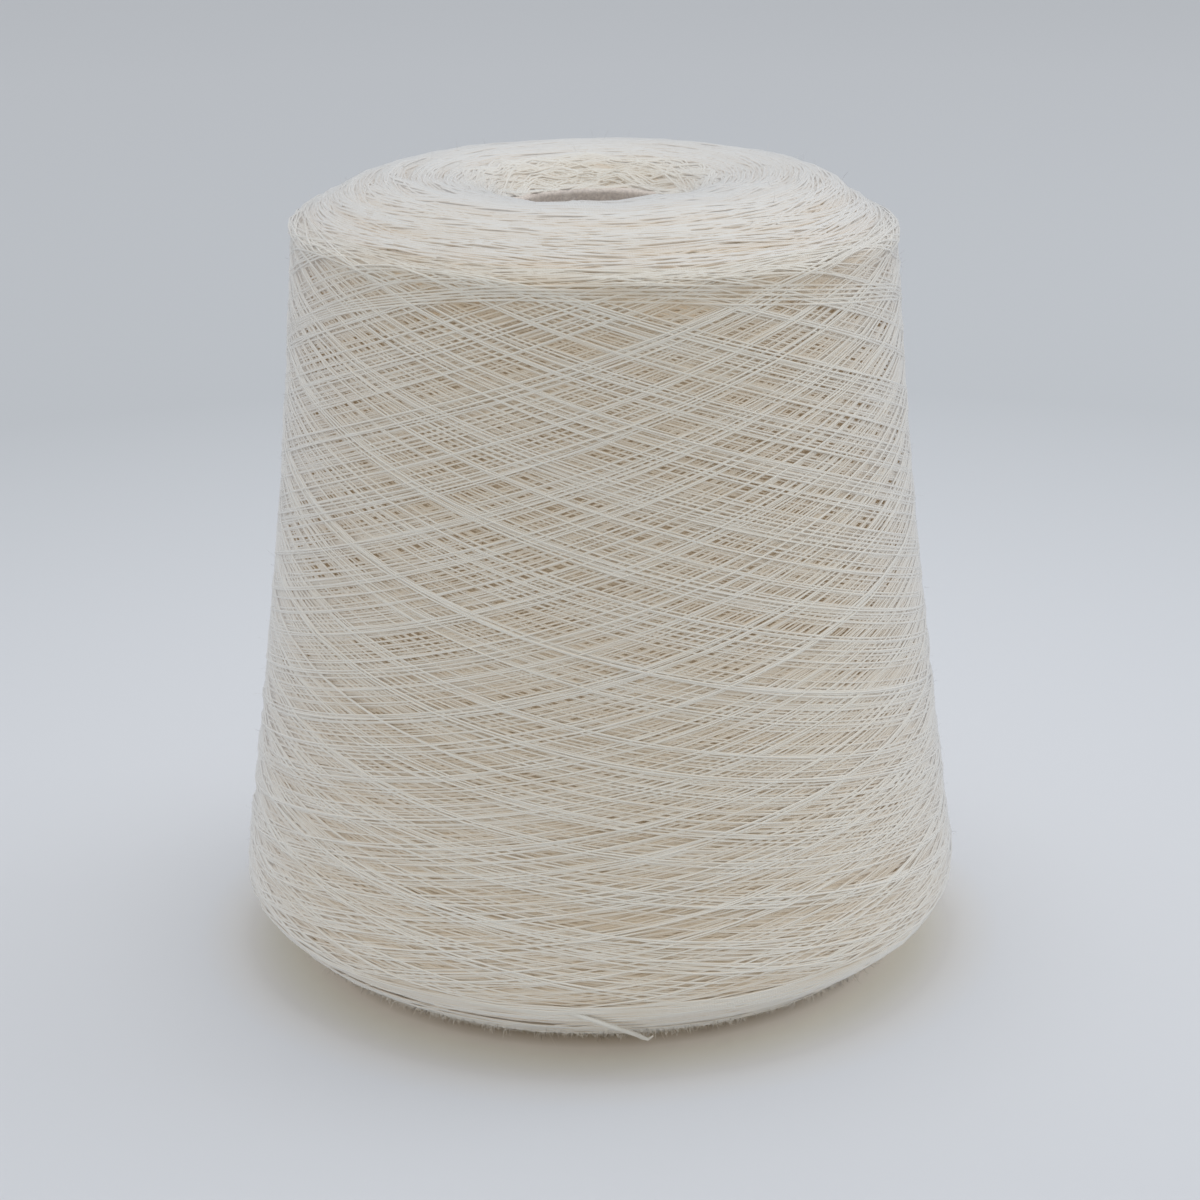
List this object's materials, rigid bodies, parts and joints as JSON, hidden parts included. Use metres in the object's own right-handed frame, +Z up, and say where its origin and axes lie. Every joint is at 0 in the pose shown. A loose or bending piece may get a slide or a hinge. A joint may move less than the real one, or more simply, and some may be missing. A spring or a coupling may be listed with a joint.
{
  "type": "cone of yarn",
  "caption": "Cross-wound cone of fine ecru yarn on a tapered paper core, with a dished top, a rounded bottom edge and a soft loose tail end.",
  "frame": {"origin": "on the floor, in the middle of the cone's wide base", "axes": "+Z up along the cone's axis towards its nose, -Y towards the front where the loose tail end lies"},
  "size_m": [0.16, 0.1603, 0.1735],
  "materials": {
    "yarn": "matt",
    "yarn_end": "matt",
    "paper": "matt"
  },
  "bodies": {
    "root": {"yarn_body": "yarn", "paper_core": "paper", "loose_end": "yarn_end"}
  },
  "joints": []
}
